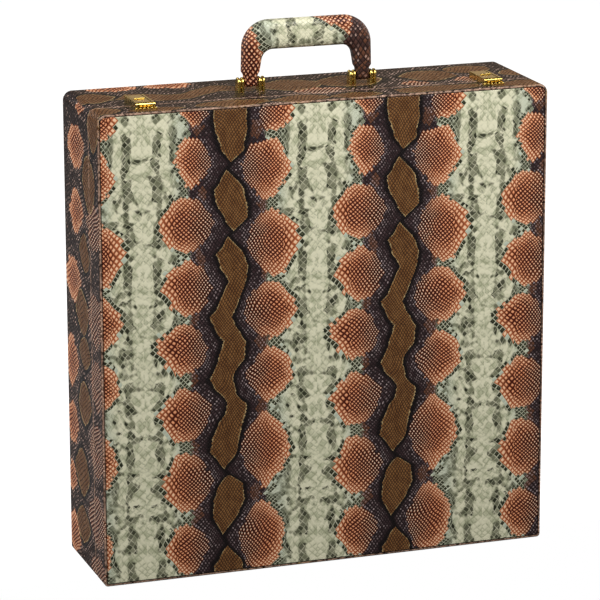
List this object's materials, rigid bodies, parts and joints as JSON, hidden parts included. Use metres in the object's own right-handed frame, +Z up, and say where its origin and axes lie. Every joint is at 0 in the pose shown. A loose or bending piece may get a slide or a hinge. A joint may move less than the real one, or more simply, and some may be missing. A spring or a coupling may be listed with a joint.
{
  "type": "chess piece storage box",
  "caption": "Upright attache-style case for chess pieces in python-print leatherette, with a hinged lid, sprung slide latches, a swinging carrying handle and a divided inside.",
  "frame": {"origin": "middle of the case's bottom", "axes": "+X to the right seen from the lid, +Y from the lid to the back, +Z up to the handle"},
  "size_m": [0.45, 0.122, 0.5279],
  "materials": {
    "print_walls": "glossy embossed python-print leatherette bonded to wood",
    "print_boards": "glossy embossed python-print leatherette bonded to board",
    "print_handle": "glossy embossed python-print leatherette",
    "lining": "chocolate brown velour",
    "bed": "chocolate brown flocked foam",
    "pad": "chocolate brown padded velour",
    "slats": "chocolate brown flocked plywood",
    "latch_gold": "polished gold-coloured plate",
    "hinge_brass": "satin brass",
    "pin_brass": "polished brass",
    "spring_steel": "bright spring wire"
  },
  "bodies": {
    "base": {"base_wall_top": "print_walls", "base_wall_bottom": "print_walls", "base_wall_left": "print_walls", "base_wall_right": "print_walls", "base_back_board": "print_boards", "base_lining": "lining", "base_bed": "bed", "row_slat_1": "slats", "row_slat_2": "slats", "row_slat_3": "slats", "column_slat_2": "slats", "column_slat_4": "slats", "column_slat_6": "slats", "officer_slat_top_1": "slats", "officer_slat_top_3": "slats", "officer_slat_top_5": "slats", "officer_slat_top_7": "slats", "officer_slat_bottom_1": "slats", "officer_slat_bottom_3": "slats", "officer_slat_bottom_5": "slats", "officer_slat_bottom_7": "slats", "hinge_leaf_base_left": "hinge_brass", "hinge_leaf_base_right": "hinge_brass", "hinge_pin_left": "hinge_brass", "hinge_pin_right": "hinge_brass", "hinge_screws_base": "hinge_brass", "latch_case_left": "latch_gold", "latch_case_right": "latch_gold", "latch_rivets_base": "pin_brass", "slide_spring_left": "spring_steel", "slide_spring_right": "spring_steel", "handle_ear_left_a": "latch_gold", "handle_ear_left_b": "latch_gold", "handle_ear_right_a": "latch_gold", "handle_ear_right_b": "latch_gold", "handle_pin_left": "pin_brass", "handle_pin_right": "pin_brass"},
    "lid": {"lid_wall_top": "print_walls", "lid_wall_bottom": "print_walls", "lid_wall_left": "print_walls", "lid_wall_right": "print_walls", "lid_front_board": "print_boards", "lid_lining": "lining", "lid_pad": "pad", "hinge_leaf_lid_left": "hinge_brass", "hinge_leaf_lid_right": "hinge_brass", "hinge_screws_lid": "hinge_brass", "latch_plate_left": "latch_gold", "latch_plate_right": "latch_gold", "latch_rivets_lid": "pin_brass", "hasp_pin_left": "pin_brass", "hasp_pin_right": "pin_brass"},
    "handle": {"carrying_handle": "print_handle"},
    "slide_left": {"thumb_slide_left": "latch_gold"},
    "hasp_left": {"hasp_left": "latch_gold"},
    "slide_right": {"thumb_slide_right": "latch_gold"},
    "hasp_right": {"hasp_right": "latch_gold"}
  },
  "joints": [
    {"name": "lid_hinge", "type": "hinge", "parent": "base", "child": "lid", "pos_m": [0, -0.03, 0.002], "axis": [1, 0, 0], "range_deg": [0, 100]},
    {"name": "handle_swing", "type": "hinge", "parent": "base", "child": "handle", "pos_m": [0, 0, 0.4692], "axis": [1, 0, 0], "range_deg": [-87, 87]},
    {"name": "slide_left_travel", "type": "slide", "parent": "base", "child": "slide_left", "axis": [0, 1, 0], "range_m": [0, 0.004], "stiffness_N_per_m": 150, "springref_m": -0.003, "deforming": ["slide_spring_left"]},
    {"name": "hasp_left_hinge", "type": "hinge", "parent": "lid", "child": "hasp_left", "pos_m": [-0.174, -0.045, 0.4638], "axis": [1, 0, 0], "range_deg": [0, 100]},
    {"name": "slide_right_travel", "type": "slide", "parent": "base", "child": "slide_right", "axis": [0, 1, 0], "range_m": [0, 0.004], "stiffness_N_per_m": 150, "springref_m": -0.003, "deforming": ["slide_spring_right"]},
    {"name": "hasp_right_hinge", "type": "hinge", "parent": "lid", "child": "hasp_right", "pos_m": [0.174, -0.045, 0.4638], "axis": [1, 0, 0], "range_deg": [0, 100]}
  ]
}
